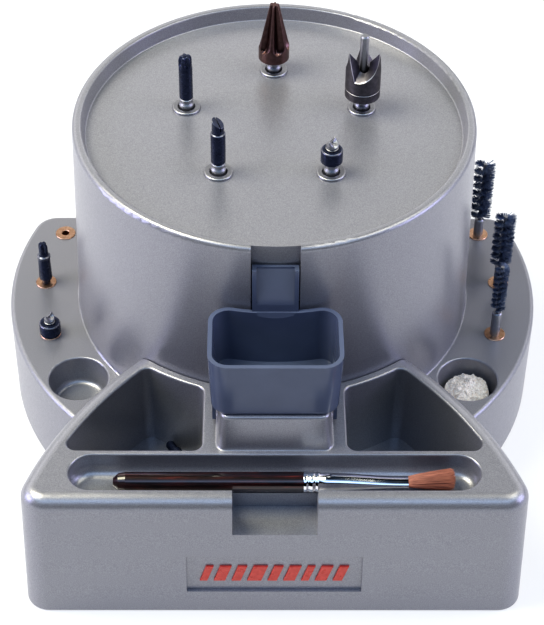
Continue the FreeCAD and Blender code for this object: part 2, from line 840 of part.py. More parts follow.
def make_rear_fittings():
    """The rocker switch and the power inlet in the flat backs of the wings."""
    switch, inlet = rear_openings(0.1)
    switch_flange, inlet_flange = rear_openings(-size["fitting_flange"])
    back = size["wing_back"]
    flange = size["fitting_flange_thick"]
    middle_x = size["fitting_x"]
    middle_z = size["fitting_z"]
    bezel = new_body("switch_bezel", y=drum_y)
    pad(bezel, sketch(bezel, switch, role="XZ_Plane", lift=-back), 14)
    pad(bezel, sketch(bezel, switch_flange, role="XZ_Plane", lift=-back), flange, reverse=True)
    well = rectangle(-middle_x - 4.5, -middle_x + 4.5, middle_z - 7, middle_z + 7)
    pocket(bezel, sketch(bezel, well, role="XZ_Plane", lift=-back - 5), 12, reverse=True)
    pivot_y = back - 2
    pocket(bezel, sketch(bezel, (pivot_y, middle_z, 1.4), role="YZ_Plane", lift=-middle_x), 11,
           midplane=True)
    rocker = new_body("power_rocker", x=-middle_x, y=drum_y + pivot_y, z=middle_z)
    rocker.Placement.Rotation = FreeCAD.Rotation(Vector(1, 0, 0), -7)
    pad(rocker, sketch(rocker, [
        (-4.0, -6.2), (0, -6.6), (4.6, -6.2), (3.4, 0), (4.6, 6.2), (0, 6.6), (-4.0, 6.2),
    ], role="YZ_Plane", lift=-4.3), 8.6)
    pad(rocker, sketch(rocker, (0, 0, 1.3), role="YZ_Plane"), 10.6, midplane=True)
    socket = new_body("power_inlet", y=drum_y)
    pad(socket, sketch(socket, inlet, role="XZ_Plane", lift=-back), 16)
    pad(socket, sketch(socket, inlet_flange, role="XZ_Plane", lift=-back), flange, reverse=True)
    end = 4.2
    low, high = middle_z - end, middle_z + end
    left, right = middle_x - 3.5, middle_x + 3.5
    pocket(socket, sketch(socket, [
        (left, low), (right, low, Bend(end)), (right, high), (left, high, Bend(end)),
    ], role="XZ_Plane", lift=-back - 2), 14, reverse=True)
    pins = [cylinder(1.15, 9, middle_x + offset, drum_y + back - 12, middle_z) for offset in (-4.3, 4.3)]
    for pin in pins:
        pin.Placement.Rotation = FreeCAD.Rotation(Vector(1, 0, 0), -90)
    group_of("inlet_pins", pins)


# ---------------------------------------------------------------------------------------------
# Chip cup
# ---------------------------------------------------------------------------------------------
def cup_outline(inset):
    """The cup's plan with rounded corners, its back following the drum, set in by the wall or not."""
    half = size["cup_half"] - inset
    front = size["cup_front"] - inset
    back = size["cup_back_radius"] + inset
    corner = size["cup_corner"] - inset
    corner_x = half - corner
    corner_y = across(back + corner, corner_x)
    touch = back / (back + corner)
    touch_x = corner_x * touch
    touch_y = corner_y * touch
    return [
        (-corner_x, -front), (corner_x, -front, Bend(corner)),
        (half, -front + corner), (half, -corner_y, Bend(corner)),
        (touch_x, -touch_y, Bend(back, left=False)), (-touch_x, -touch_y, Bend(corner)),
        (-half, -corner_y), (-half, -front + corner, Bend(corner)),
    ]


def make_chip_cup():
    """The lift-out cup in front of the drum, with a chute that reaches up into the notch."""
    top = size["cup_top"]
    rest = size["block_height"] + 0.2
    wall = size["cup_wall"]
    body = new_body("chip_cup", y=drum_y)
    pad(body, sketch(body, cup_outline(0), lift=top), top - rest, draft=-size["cup_draft"], reverse=True)
    round_edges(body, 2.0, lambda edge: level(edge, rest))

    # the cup's inside
    pocket(body, sketch(body, cup_outline(wall), lift=top), top - rest - wall, draft=-size["cup_draft"])

    # skirts that hug the block's sides
    skirt_out = size["cup_half"] - 1.6
    skirt_in = size["block_half"] + 0.6
    for side in (-1, 1):
        low, high = sorted((skirt_in * side, skirt_out * side), key=value_of)
        pad(body, sketch(body, rectangle(low, high, -118, -99.5), lift=size["skirt_bottom"]),
            rest + 6 - size["skirt_bottom"])

    # chute into the drum's notch
    chute_half = size["notch_half"] - 0.5
    drum_at_top = size["cup_back_radius"]
    start = size["lip_radius"] + 0.4
    pad(body, sketch(body, [
        (-start, 145.5), (-drum_at_top + 2.2, 145.5), (-drum_at_top - 0.6, top),
        (-drum_at_top - 1.2, 117), (-drum_at_top + 0.4, 115.5), (-start, 134),
    ], role="YZ_Plane"), chute_half * 2, midplane=True)

    pocket(body, sketch(body, [
        (-start - 1.5, 150), (-start - 1.5, 144.5), (-drum_at_top - wall - 0.2, 121),
        (-drum_at_top - wall - 0.2, 150),
    ], role="YZ_Plane"), (chute_half - 2) * 2, midplane=True)


# ---------------------------------------------------------------------------------------------
# Gears, spindles and motor
# ---------------------------------------------------------------------------------------------
def spindle_spots():
    """Where each spindle stands about the drive's own axis."""
    return {word: polar(size["spindle_circle"], angle) for word, angle in SPINDLE_ANGLES.items()}


def cut_teeth(body, teeth):
    """Cut straight-flanked tooth gaps round a blank; a tooth stays centred on the X axis."""
    pitch = size["gear_module"] * teeth / 2
    tip = pitch + size["gear_module"] + 1
    root_radius = pitch - size["gear_module"] * 1.25
    pitch_half = size["gear_module"] * (math.pi / 4) + size["gear_play"]
    slope = math.tan(math.radians(20))
    corners = []
    turn = math.radians(180 / teeth)
    for radius, sign in ((root_radius, -1), (tip, -1), (tip, 1), (root_radius, 1)):
        half = (pitch_half + (radius - pitch) * slope) * sign
        x = radius * math.cos(turn) - half * math.sin(turn)
        y = radius * math.sin(turn) + half * math.cos(turn)
        corners.append((x, y))
    gap = pocket(body, sketch(body, corners, lift=size["gear_high"] + 1),
                 size["gear_high"] + 2 - size["gear_low"])
    around(body, gap, teeth)


def make_drive():
    """Motor, gear plate, sun pinion and the five driven spindles with their bushes."""
    low = size["gear_low"]
    high = size["gear_high"]
    plate_low = size["gear_plate_low"]
    plate_top = plate_low + size["gear_plate_thick"]
    roof = size["drum_height"] - size["dish_depth"] - size["wall"]
    shaft = size["motor_shaft"]
    module = size["gear_module"]
    sun_radius = module * (SUN_TEETH / 2 + 1)
    bush_outer = 4.5
    screw_hole = size["screw_hole_radius"]

    plate = new_body("gear_plate", y=drive_y)
    pad(plate, sketch(plate, (0, 0, size["gear_plate_radius"]), lift=plate_low), size["gear_plate_thick"])
    bush_holes = [spot + (bush_outer,) for spot in spindle_spots().values()]
    post_spots = [polar(size["post_circle"], angle + 36) for angle in SPINDLE_ANGLES.values()]
    motor_spots = [polar(Size(20, "20"), angle) for angle in (45, 135, 225, 315)]
    small_holes = [spot + (screw_hole,) for spot in post_spots + motor_spots]
    pocket(plate, sketch(plate, (0, 0, 9.0), *bush_holes, *small_holes, lift=plate_top + 1), 8)

    posts = []
    post_screws = []
    motor_screws = []
    for x, y in post_spots:
        posts.append(ring(size["post_radius"], screw_hole, roof - plate_top, x, drive_y + y, plate_top))
        post_screws.append(headed(3.2, 1.8, screw_hole, 14, x, drive_y + y, plate_low - 1.8))
    for x, y in motor_spots:
        motor_screws.append(headed(2.8, 1.8, screw_hole, 9, x, drive_y + y, plate_top, up=False))
    group_of("gear_plate_posts", posts)
    group_of("gear_plate_screws", post_screws)
    group_of("motor_screws", motor_screws)

    motor = new_body("motor_gearbox", y=drive_y)
    can = size["motor_low"]
    revolve(motor, [
        (0, can - 6), (9, can - 6), (9, can), (23, can), (23, 76), (size["motor_radius"], 76),
        (size["motor_radius"], plate_low), (shaft + 0.05, plate_low), (shaft + 0.05, 90), (0, 90),
    ])
    pocket(motor, sketch(motor, *[spot + (screw_hole,) for spot in motor_spots], lift=plate_low), 8)

    sun = new_body("sun_pinion", y=drive_y)
    revolve(sun, [(0, 90.5), (shaft, 90.5), (shaft, low), (sun_radius, low), (sun_radius, high), (0, high)])
    cut_teeth(sun, SUN_TEETH)

    lower_bushes = []
    for place_word, (x, y) in spindle_spots().items():
        make_spindle(place_word, x=x, y=drive_y + y)
        lower_bushes.append(
            ring(bush_outer, size["journal_bore"], size["gear_plate_thick"] + 3.4, x, drive_y + y, plate_low))
    group_of("lower_bushes", lower_bushes)


def make_spindle(place_word, **where):
    """One spindle with the bush it turns in and its gear, meshed with the sun pinion."""
    low = size["gear_low"]
    high = size["gear_high"]
    foot = size["gear_plate_low"] - 1
    dish = size["drum_height"] - size["dish_depth"]
    under = dish - size["wall"] - 1
    bush_top = dish + size["bush_flange"]
    bore = size["spindle_bore"]
    bush = size["bush_radius"]
    flange = size["bush_flange_radius"]
    recess = size["bush_recess"]
    outer_round = 0.85
    inner_round = 0.6
    turned_part(f"spindle_bush_{place_word}", [
        (bore, under), (bush, under), (bush, dish), (flange, dish),
        (flange, bush_top - outer_round, Bend(outer_round)), (flange - outer_round, bush_top),
        (recess + inner_round, bush_top, Bend(inner_round)), (recess, bush_top - inner_round),
        (recess, dish + 0.1), (bore, dish - 0.4),
    ], **where)

    body = size["spindle_radius"]
    journal = size["journal_radius"]
    socket = size["socket_radius"]
    top = size["spindle_top"]
    hub = 5.0
    collar = 6.5
    turned_part(f"spindle_{place_word}", [
        (0, foot), (journal, foot), (journal, low - 1.5), (collar, low - 1.5), (collar, low),
        (hub, low), (hub, high + 2), (body, high + 2), (body, top - 4.6), (body + 0.15, top - 4.2),
        (body + 0.15, top - 3.3), (2.9, top - 2.4), (2.9, top - 1.4), (3.3, top - 0.8), (3.3, top - 0.3),
        (3.0, top), (socket, top), (socket, top - size["socket_depth"]), (0, top - size["socket_depth"]),
    ], **where)

    angle = SPINDLE_ANGLES[place_word]
    mesh_turn = angle + 180 + angle * SUN_TEETH / SPINDLE_TEETH - 180 / SPINDLE_TEETH
    tip = size["gear_module"] * (SPINDLE_TEETH / 2 + 1)
    gear = new_body(f"spindle_gear_{place_word}", turn=mesh_turn, **where)
    revolve(gear, [(hub, low), (tip, low), (tip, high), (hub, high)])
    cut_teeth(gear, SPINDLE_TEETH)


# ---------------------------------------------------------------------------------------------
# Tools on the spindles
# ---------------------------------------------------------------------------------------------
def tool_shank():
    """The threaded shank that every spindle tool screws into its spindle with."""
    thread = size["socket_radius"]
    low = size["spindle_top"] - size["socket_depth"] + 1
    return [(0, low), (thread, low), (thread, size["spindle_top"] + 0.1)]


def spindle_tool(node, place_word, corners, turn=0):
    x, y = spindle_spots()[place_word]
    return turned_part(node, corners, x=x, y=drive_y + y, turn=turn)


def fluted(body, count, depth_radius, width, low, high):
    """Cut straight flutes round a tool: a flute is as deep as depth_radius and so wide."""
    corners = [(depth_radius, 0), (depth_radius + width, -width / 2), (depth_radius + width * 3, -width / 2),
               (depth_radius + width * 3, width / 2), (depth_radius + width, width / 2)]
    flute = pocket(body, sketch(body, corners, lift=high), high - low)
    around(body, flute, count)


def make_spindle_tools():
    """The five tools screwed into the spindles."""
    spindle_tool("chamfer_cutter", "back", tool_shank() + [
        (4.8, 157.6), (7.45, 159.4), (7.45, 166.2), (2.3, 189.5), (0, 189.5),
    ])
    crown = spindle_tool("deburring_cutter", "right", tool_shank() + [
        (5.2, 157.5), (8.4, 159.6), (8.4, 163.7), (8.2, 164.0), (8.4, 164.3), (8.4, 184.0), (7.9, 185.0),
        (6.2, 185.0), (4.6, 172.0), (2.05, 171.0), (2.05, 168.0), (0, 168.0),
    ], turn=28)
    valley = pocket(crown, sketch(crown, [(-9.6, 187), (0, 171.5), (4.8, 187)], role="XZ_Plane"), 12)
    around(crown, valley, 3)
    spindle_tool("deburring_pilot", "right", [
        (0, 168.0), (2.05, 168.0), (2.05, 192.3), (1.5, 193.0), (0, 193.0),
    ])
    spindle_tool("uniformer_collar", "front_right", tool_shank() + [
        (4.6, 158.0), (5.1, 158.6), (5.1, 164.7), (4.6, 165.2), (1.6, 165.2), (1.6, 161.0), (0, 161.0),
    ])
    bit = spindle_tool("uniformer_bit", "front_right", [
        (0, 161.0), (1.6, 161.0), (1.6, 165.2), (2.6, 165.2), (3.0, 165.8), (3.0, 170.2), (2.5, 170.8),
        (0, 170.8),
    ])
    fluted(bit, 4, 1.5, 1.0, 166.6, 172)
    large = spindle_tool("large_pocket_reamer", "front_left", tool_shank() + [
        (3.1, 157.6), (3.4, 158.1), (3.4, 173.8), (2.8, 174.4), (2.8, 181.4), (2.3, 182.2), (0, 182.2),
    ])
    fluted(large, 2, 1.4, 1.2, 176.5, 184)
    small = spindle_tool("small_pocket_reamer", "left", tool_shank() + [
        (2.95, 157.5), (3.25, 157.9), (3.25, 178.6), (3.05, 179.8), (2.4, 180.9), (1.6, 181.3), (0, 181.3),
    ])
    fluted(small, 4, 1.3, 1.0, 175.5, 184)


# ---------------------------------------------------------------------------------------------
# Loose tools
# ---------------------------------------------------------------------------------------------
def stored_place(side, row):
    x, y = INSERT_PLACES[row]
    return {"x": side * x, "y": drum_y + y}


def make_stored_tools():
    """The tools that stand in the wings' inserts and the one that lies in a pocket."""
    seat = size["wing_height"] + size["insert_flange"]
    shank = size["shank_radius"]
    bottom = seat - 9
    reamer = turned_part("stored_reamer", [
        (0, bottom), (shank, bottom), (shank, seat), (2.15, seat), (2.15, seat + 2.2), (3.3, seat + 3.0),
        (3.3, 68.6), (2.5, 69.4), (2.5, 74.8), (1.9, 76.4), (0, 76.4),
    ], **stored_place(-1, "middle"))
    fluted(reamer, 4, 1.2, 1.0, 70.6, 78)
    turned_part("stored_uniformer_collar", [
        (0, bottom), (shank, bottom), (shank, seat), (4.9, seat), (5.2, seat + 0.4),
        (5.2, 57.0), (4.7, 57.6), (1.6, 57.6), (1.6, 54.0), (0, 54.0),
    ], **stored_place(-1, "front"))
    bit = turned_part("stored_uniformer_bit", [
        (0, 54.0), (1.6, 54.0), (1.6, 57.6), (2.1, 57.6), (2.7, 58.4), (2.7, 62.4), (2.3, 63.0), (0, 63.0),
    ], **stored_place(-1, "front"))
    fluted(bit, 4, 1.4, 0.9, 59.2, 64)
    bristle_sizes = {"rear": (5.9, 61.7, 97.7), "middle": (5.75, 63.0, 95.0), "front": (3.9, 65.7, 95.0)}
    for row, (radius, low, high) in bristle_sizes.items():
        where = stored_place(1, row)
        turned_part(f"neck_brush_shank_{row}", [
            (0, bottom), (shank, bottom), (shank, seat), (2.45, seat), (2.45, low - 1.2), (1.9, low - 0.6),
            (0.9, low - 0.6), (0.9, high - 0.4), (0, high - 0.4),
        ], **where)
        turned_part(f"neck_brush_bristles_{row}", [
            (0.9, low), (radius * 0.75, low), (radius, low + 1.5), (radius, high - 1.5),
            (radius * 0.75, high), (0, high), (0, high - 0.4), (0.9, high - 0.4),
        ], **where)
    spare = turned_part("spare_reamer", [
        (0, -11), (shank, -11), (shank, -4.6), (3.0, -4), (3.0, 8), (2.2, 8.8), (2.2, 13.4), (1.6, 14.4),
        (0, 14.4),
    ], x=-42.8, y=drum_y - 104, z=size["pocket_floor"] + 3.1)
    spare.Placement.Rotation = FreeCAD.Rotation(Vector(0, 0, 1), Vector(-0.5, 0.866, 0))


def lay_along_x(part):
    """Turn a piece from standing on its end to lying with its end towards +X."""
    part.Placement.Rotation = FreeCAD.Rotation(Vector(0, 1, 0), 90)


def make_cleaning_brush():
    """The brush in the trough: lacquered handle, chromed ferrule and a tuft of hair."""
    radius = size["brush_radius"]
    where = {"y": drum_y - size["brush_axis_y"], "z": size["brush_axis_z"]}
    handle = turned_part("brush_handle", [
        (0, -72), (1.8, -72), (3.8, -69.8), (radius - 0.1, -66.5), (radius, -20), (radius + 0.1, 12.8),
        (0, 12.8),
    ], **where)
    ferrule = turned_part("brush_ferrule", [
        (0, 12.8), (4.7, 12.8), (4.75, 14.4), (4.4, 15.2), (4.75, 16.0), (4.75, 17.6), (4.4, 18.4),
        (4.75, 19.8), (4.2, 20.6), (3.2, 44), (2.6, 59.5), (0, 59.5),
    ], **where)
    hair = turned_part("brush_hair", [
        (0, 59.5), (2.5, 59.5), (4.4, 72), (4.5, 79.5), (3.6, 81), (0, 81),
    ], **where)
    for piece in (handle, ferrule, hair):
        lay_along_x(piece)


def make_badge():
    """A plain raised badge in the front recess."""
    badge = new_body("front_badge", y=drum_y)
    half = size["badge_half"] - 6
    middle = (size["badge_low"] + size["badge_high"]) / 2
    face = size["tray_front"] - size["badge_depth"] - 0.6
    pad(badge, sketch(badge, rectangle(-half, half, middle - 5, middle + 5), role="XZ_Plane", lift=face), 1.0)


def check_and_export():
    """Stop on any failed object, then write each sub-part to its own file."""
    doc.recompute()
    for item in doc.Objects:
        if "Invalid" in item.State or "Error" in item.State:
            raise RuntimeError(f"{item.Name} ({item.Label}) failed: {item.State}")
    os.makedirs("parts", exist_ok=True)
    for item in subparts:
        shape = item.Shape
        if shape.isNull() or not shape.isValid() or not shape.Solids:
            raise RuntimeError(f"{item.Label} has no valid shape")
        shape.exportStep(f"parts/{item.Label}.step")


make_cover()
make_tray()
make_base_plate()
make_fasteners()
make_storage()
make_rear_fittings()
make_badge()
make_chip_cup()
make_drive()
make_spindle_tools()
make_stored_tools()
make_cleaning_brush()
check_and_export()
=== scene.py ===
"""Looks for the motorised case preparation station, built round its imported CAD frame."""
import json
import math
import random

import bmesh
import bpy
from mathutils import Matrix, Vector, noise


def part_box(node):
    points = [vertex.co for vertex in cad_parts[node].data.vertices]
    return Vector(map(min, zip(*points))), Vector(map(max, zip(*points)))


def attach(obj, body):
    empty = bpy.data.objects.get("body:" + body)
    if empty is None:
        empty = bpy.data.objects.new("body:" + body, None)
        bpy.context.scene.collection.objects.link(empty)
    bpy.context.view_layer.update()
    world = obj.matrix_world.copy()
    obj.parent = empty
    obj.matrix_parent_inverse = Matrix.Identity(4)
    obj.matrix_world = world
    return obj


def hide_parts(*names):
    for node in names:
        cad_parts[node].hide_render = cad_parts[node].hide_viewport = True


MM = 0.001
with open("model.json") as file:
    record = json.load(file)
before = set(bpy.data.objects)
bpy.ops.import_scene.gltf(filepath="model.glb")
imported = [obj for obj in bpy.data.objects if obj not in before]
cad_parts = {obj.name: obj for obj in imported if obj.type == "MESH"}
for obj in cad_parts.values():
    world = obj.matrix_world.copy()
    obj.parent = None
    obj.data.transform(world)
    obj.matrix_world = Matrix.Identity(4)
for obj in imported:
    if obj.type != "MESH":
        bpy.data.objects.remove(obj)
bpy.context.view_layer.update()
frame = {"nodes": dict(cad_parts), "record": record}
random.seed(7)

scene = bpy.context.scene
scene.view_settings.view_transform = "Standard"
scene.view_settings.look = "High Contrast"


# ---------------------------------------------------------------------------------------------
# Node graph helpers
# ---------------------------------------------------------------------------------------------
class Graph:
    """A material's node tree with short calls for the nodes used here."""

    def __init__(self, name):
        self.material = bpy.data.materials.new(name)
        self.material.use_nodes = True
        self.nodes = self.material.node_tree.nodes
        self.links = self.material.node_tree.links
        self.shader = self.nodes["Principled BSDF"]
        self.place = self.nodes.new("ShaderNodeTexCoord").outputs["Object"]

    def add(self, kind, **settings):
        node = self.nodes.new(kind)
        for key, value in settings.items():
            setattr(node, key, value)
        return node

    def link(self, source, target):
        self.links.new(source, target)

    def noise(self, scale, detail=2.0, rough=0.5, stretch=None, distortion=0.0):
        """Noise whose scale is in cells per metre; stretch scales the three axes first."""
        node = self.add("ShaderNodeTexNoise")
        node.inputs["Scale"].default_value = scale
        node.inputs["Detail"].default_value = detail
        node.inputs["Roughness"].default_value = rough
        node.inputs["Distortion"].default_value = distortion
        self.link(self.stretched(stretch), node.inputs["Vector"])
        return node.outputs["Fac"]

    def stretched(self, stretch):
        if stretch is None:
            return self.place
        mapping = self.add("ShaderNodeMapping")
        mapping.inputs["Scale"].default_value = stretch
        self.link(self.place, mapping.inputs["Vector"])
        return mapping.outputs["Vector"]

    def ramp(self, value, stops):
        """A colour ramp from (position, grey or colour) stops."""
        node = self.add("ShaderNodeValToRGB")
        ramp = node.color_ramp
        while len(ramp.elements) < len(stops):
            ramp.elements.new(0.5)
        for element, (position, colour) in zip(ramp.elements, stops):
            element.position = position
            rgb = colour if isinstance(colour, tuple) else (colour, colour, colour)
            element.color = (*rgb, 1.0)
        self.link(value, node.inputs["Fac"])
        return node.outputs["Color"]

    def mixed(self, factor, first, second):
        """Mix two colours, each a socket or a tuple."""
        node = self.add("ShaderNodeMix", data_type="RGBA")
        for key, value in (("Factor", factor), ("A", first), ("B", second)):
            socket = next(item for item in node.inputs
                          if item.name == key and item.type == ("VALUE" if key == "Factor" else "RGBA"))
            if isinstance(value, bpy.types.NodeSocket):
                self.link(value, socket)
            elif key == "Factor":
                socket.default_value = value
            else:
                socket.default_value = (*value, 1.0)
        return next(item for item in node.outputs if item.type == "RGBA")

    def bump(self, height, distance, strength):
        """Tilt the shader's normal by a height pattern; the distance is in metres."""
        node = self.add("ShaderNodeBump")
        node.inputs["Distance"].default_value = distance
        node.inputs["Strength"].default_value = strength
        self.link(height, node.inputs["Height"])
        self.link(node.outputs["Normal"], self.shader.inputs["Normal"])

    def set(self, **values):
        """Set plain values on the shader; an underscore stands for a space."""
        for key, value in values.items():
            socket = self.shader.inputs[key.replace("_", " ")]
            if isinstance(value, bpy.types.NodeSocket):
                self.link(value, socket)
            elif isinstance(value, tuple):
                socket.default_value = (*value, 1.0)
            else:
                socket.default_value = value
        return self.material


# ---------------------------------------------------------------------------------------------
# Materials
# ---------------------------------------------------------------------------------------------
def housing_plastic():
    """Silver-grey moulded plastic: fine metal flake, a leathery micro texture and a satin gloss."""
    graph = Graph("housing_plastic")
    flake = graph.noise(2600, detail=2, rough=0.6)
    cloud = graph.noise(14, detail=3)
    tint = graph.ramp(flake, [(0.34, (0.274, 0.271, 0.294)), (0.5, (0.330, 0.325, 0.350)),
                              (0.68, (0.412, 0.405, 0.430))])
    base = graph.mixed(0.10, tint, graph.ramp(cloud, [(0.3, 0.29), (0.7, 0.38)]))
    grain = graph.noise(1300, detail=3, rough=0.65)
    graph.bump(grain, 0.00003, 0.3)
    roughness = graph.ramp(graph.noise(700, detail=2), [(0.3, 0.28), (0.7, 0.36)])
    return graph.set(Base_Color=base, Metallic=0.50, Roughness=roughness, IOR=1.5)


def cup_plastic():
    """Smooth dark blue-grey moulded plastic."""
    graph = Graph("cup_plastic")
    cloud = graph.noise(60, detail=3)
    base = graph.ramp(cloud, [(0.3, (0.112, 0.130, 0.186)), (0.7, (0.126, 0.146, 0.208))])
    graph.bump(graph.noise(1800, detail=1), 0.00001, 0.2)
    roughness = graph.ramp(graph.noise(40, detail=2), [(0.3, 0.12), (0.7, 0.16)])
    return graph.set(Base_Color=base, Roughness=roughness, IOR=1.5)


def plain_finish(name, dark, light, metallic, rough, scale=300, bump=0.00002, stretch=None, edge=None):
    """A finish that varies a little in colour and roughness; edge is the colour painted on marked faces,
    partly bare ground metal and partly painted highlight.
    """
    graph = Graph(name)
    pattern = graph.noise(scale, detail=4, stretch=stretch)
    base = graph.ramp(pattern, [(0.3, dark), (0.7, light)])
    graph.bump(pattern, bump, 0.5)
    roughness = graph.ramp(graph.noise(scale * 0.6, detail=3, stretch=stretch),
                           [(0.3, rough[0]), (0.7, rough[1])])
    if edge is not None:
        # Marked faces take the edge colour: bare ground metal with a painted highlight on bevels and rims.
        bare_metal_and_painted_highlight_mask = graph.add("ShaderNodeAttribute", attribute_name="bare_metal_and_painted_highlight").outputs["Fac"]
        base = graph.mixed(bare_metal_and_painted_highlight_mask, base, edge)
    return graph.set(Base_Color=base, Metallic=metallic, Roughness=roughness)


def lacquer():
    """Dark lacquered wood: red-brown streaks along the handle under a thick clear coat."""
    graph = Graph("lacquer")
    streak = graph.noise(60, detail=5, rough=0.7, stretch=(1.0, 14.0, 14.0), distortion=0.4)
    base = graph.ramp(streak, [(0.42, (0.006, 0.002, 0.003)), (0.58, (0.030, 0.006, 0.006)),
                               (0.72, (0.13, 0.020, 0.014))])
    return graph.set(Base_Color=base, Roughness=0.30, IOR=1.5, Coat_Weight=1.0, Coat_Roughness=0.05)


MATERIALS = {
    "housing_plastic": housing_plastic(),
    "cup_plastic": cup_plastic(),
    "base_plastic": plain_finish("base_plastic", (0.012, 0.012, 0.014), (0.022, 0.022, 0.025), 0.0,
                                 (0.45, 0.6), scale=700, bump=0.00005),
    "rubber": plain_finish("rubber", (0.010, 0.010, 0.011), (0.020, 0.020, 0.021), 0.0, (0.7, 0.85),
                           scale=900, bump=0.00008),
    "steel": plain_finish("steel", (0.34, 0.34, 0.36), (0.40, 0.40, 0.42), 1.0, (0.38, 0.46), scale=500,
                          bump=0.000004),
    "chrome": plain_finish("chrome", (0.78, 0.78, 0.81), (0.86, 0.86, 0.88), 1.0, (0.06, 0.14), scale=300,
                           bump=0.00001),
    "copper_alloy": plain_finish("copper_alloy", (0.56, 0.34, 0.22), (0.74, 0.50, 0.36), 1.0, (0.26, 0.40),
                                 scale=700),
    "bronze_coating": plain_finish("bronze_coating", (0.135, 0.084, 0.080), (0.205, 0.126, 0.118), 1.0,
                                   (0.27, 0.37), scale=500),
    # The edge colours below paint marked bevels and rims lighter: partly bare ground metal, partly painted
    # highlight.
    "black_oxide": plain_finish("black_oxide", (0.022, 0.028, 0.056), (0.042, 0.052, 0.094), 0.55,
                                (0.20, 0.30), scale=600, edge=(0.40, 0.39, 0.41)),
    "gunmetal": plain_finish("gunmetal", (0.105, 0.098, 0.110), (0.155, 0.145, 0.162), 1.0, (0.36, 0.46),
                             scale=500, edge=(0.62, 0.60, 0.60)),
    "gear_nylon": plain_finish("gear_nylon", (0.62, 0.60, 0.52), (0.72, 0.70, 0.62), 0.0, (0.4, 0.5)),
    "motor_metal": plain_finish("motor_metal", (0.02, 0.02, 0.022), (0.035, 0.035, 0.038), 0.3, (0.35, 0.5)),
    "aluminium": plain_finish("aluminium", (0.60, 0.60, 0.62), (0.72, 0.72, 0.73), 1.0, (0.28, 0.42)),
    "bristle": plain_finish("bristle", (0.07, 0.09, 0.15), (0.16, 0.20, 0.30), 0.0, (0.26, 0.38)),
    "lacquer": lacquer(),
    "hair": plain_finish("hair", (0.25, 0.088, 0.054), (0.52, 0.21, 0.135), 0.0, (0.4, 0.55), scale=400,
                         stretch=(0.2, 3.0, 3.0)),
    "powder": plain_finish("powder", (0.80, 0.68, 0.58), (1.0, 0.95, 0.88), 0.0, (0.6, 0.9), scale=1500,
                           bump=0.0002),
    "badge": plain_finish("badge", (0.62, 0.075, 0.055), (0.74, 0.11, 0.08), 0.0, (0.25, 0.35), scale=400),
}


def dress_cad_nodes():
    """Give each CAD node the material of its record slot."""
    for part in frame["record"]["subparts"]:
        node = frame["nodes"][part["node"]]
        node.data.materials.clear()
        node.data.materials.append(MATERIALS[part["material_slot"]])


# ---------------------------------------------------------------------------------------------
# Mesh building
# ---------------------------------------------------------------------------------------------
class Shape:
    """Points and faces of a piece, in millimetres about a place; each face carries a share of bare metal and
    painted highlight.
    """

    def __init__(self, x=0.0, y=0.0):
        self.x = x
        self.y = y
        self.points = []
        self.faces = []
        self.bare_metal_and_painted_highlights = []

    def point(self, x, y, z):
        self.points.append(((self.x + x) * MM, (self.y + y) * MM, z * MM))
        return len(self.points) - 1

    def face(self, corners, bare_metal_and_painted_highlight=0.0):
        self.faces.append(tuple(corners))
        self.bare_metal_and_painted_highlights.append(bare_metal_and_painted_highlight)

    def ring(self, places):
        return [self.point(*place) for place in places]

    def bridge(self, low, high, bare_metal_and_painted_highlight=0.0):
        """Join two rings of equally many points with quads."""
        count = len(low)
        for index in range(count):
            after = (index + 1) % count
            self.face((low[index], low[after], high[after], high[index]), bare_metal_and_painted_highlight)

    def cap(self, ring, top=True, bare_metal_and_painted_highlight=0.0):
        self.face(ring if top else ring[::-1], bare_metal_and_painted_highlight)

    def turned(self, profile, sides=72, relief=None):
        """Turn (radius, height[, share of bare metal and painted highlight on the band above]) about the
        place, with an optional relief.
        """
        previous = None
        previous_bare_metal_and_painted_highlight = 0.0
        for radius, height, *bare_metal_and_painted_highlight in profile:
            places = []
            for step in range(sides):
                angle = 2 * math.pi * step / sides
                out, lift = (radius, height) if relief is None else relief(angle, radius, height)
                places.append((out * math.sin(angle), -out * math.cos(angle), lift))
            ring = self.ring(places)
            if previous is None:
                self.cap(ring, top=False)
            else:
                self.bridge(previous, ring, previous_bare_metal_and_painted_highlight)
            previous = ring
            previous_bare_metal_and_painted_highlight = bare_metal_and_painted_highlight[0] if bare_metal_and_painted_highlight else 0.0
        self.cap(previous, bare_metal_and_painted_highlight=previous_bare_metal_and_painted_highlight)

    def strand(self, path, radii, sides=3):
        """A closed thin tube along points, with one radius per point."""
        along = (Vector(path[-1]) - Vector(path[0])).normalized()
        side = along.cross(Vector((0.31, 0.17, 0.93))).normalized()
        other = along.cross(side)
        previous = None
        for place, radius in zip(path, radii):
            places = []
            for step in range(sides):
                angle = 2 * math.pi * step / sides
                spot = Vector(place) + (side * math.cos(angle) + other * math.sin(angle)) * radius
                places.append(spot)
            ring = self.ring(places)
            if previous is None:
                self.cap(ring, top=False)
            else:
                self.bridge(previous, ring)
            previous = ring
        self.cap(previous)

    def piece(self, name, slot, body, *replaced, sharp=32.0):
        """Make the object, give it its slot's material, and fasten it to a body."""
        mesh = bpy.data.meshes.new(name)
        mesh.from_pydata(self.points, [], self.faces)
        # Per-face share of bare ground metal and painted highlight, which the finishes with an edge colour
        # paint onto bevels and rims.
        bare_metal_and_painted_highlight = mesh.attributes.new("bare_metal_and_painted_highlight", "FLOAT", "FACE")
        bare_metal_and_painted_highlight.data.foreach_set("value", self.bare_metal_and_painted_highlights)
        mesh.validate()
        shell = bmesh.new()
        shell.from_mesh(mesh)
        bmesh.ops.recalc_face_normals(shell, faces=shell.faces)
        shell.to_mesh(mesh)
        shell.free()
        mesh.shade_smooth()
        mesh.set_sharp_from_angle(angle=math.radians(sharp))
        mesh.materials.append(MATERIALS[slot])
        thing = bpy.data.objects.new(name, mesh)
        scene.collection.objects.link(thing)
        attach(thing, body)
        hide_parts(*replaced)


